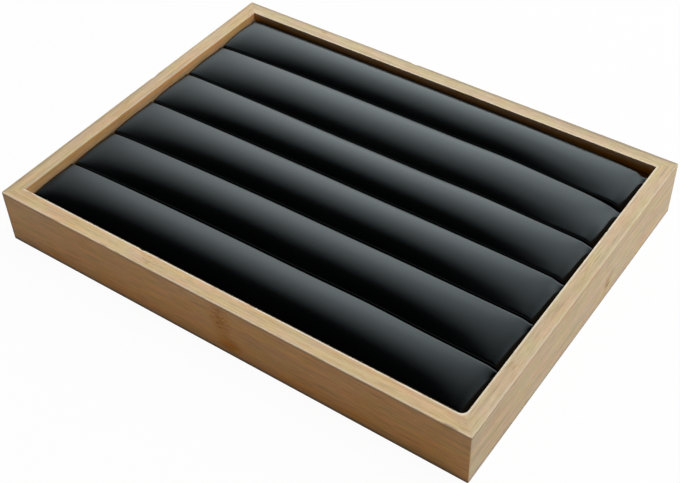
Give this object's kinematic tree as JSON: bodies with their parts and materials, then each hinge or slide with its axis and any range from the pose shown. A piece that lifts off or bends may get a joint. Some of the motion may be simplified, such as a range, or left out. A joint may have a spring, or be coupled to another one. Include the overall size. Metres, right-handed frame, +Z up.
{
  "type": "ring display tray",
  "caption": "Shallow bamboo tray with mitred rails and a lift-out pad of black leathercloth rolls that hold rings in the slots between them.",
  "frame": {"origin": "middle of the underside, at table height", "axes": "+X along the rolls and the long rails, +Y from front to back, +Z up"},
  "size_m": [0.24, 0.18, 0.029],
  "materials": {
    "bamboo": "sanded bamboo with a thin clear matt lacquer",
    "bamboo_tongue": "plain sawn bamboo",
    "floor_panel": "thin plywood, unfinished",
    "lined_board": "greyboard lined with black paper",
    "leathercloth": "black grained leathercloth, satin",
    "foam": "open-cell polyurethane foam"
  },
  "bodies": {
    "tray": {"rail_front": "bamboo", "rail_back": "bamboo", "rail_left": "bamboo", "rail_right": "bamboo", "corner_tongue_front_left": "bamboo_tongue", "corner_tongue_front_right": "bamboo_tongue", "corner_tongue_back_left": "bamboo_tongue", "corner_tongue_back_right": "bamboo_tongue", "base_panel": "floor_panel"},
    "insert": {"insert_board": "lined_board", "foam_core_1": "foam", "foam_core_2": "foam", "foam_core_3": "foam", "foam_core_4": "foam", "foam_core_5": "foam", "foam_core_6": "foam", "leather_cover_1": "leathercloth", "leather_cover_2": "leathercloth", "leather_cover_3": "leathercloth", "leather_cover_4": "leathercloth", "leather_cover_5": "leathercloth", "leather_cover_6": "leathercloth"}
  },
  "joints": [
    {"name": "insert_lift", "type": "slide", "parent": "tray", "child": "insert", "axis": [0, 0, 1], "range_m": [0, 0.04]}
  ]
}
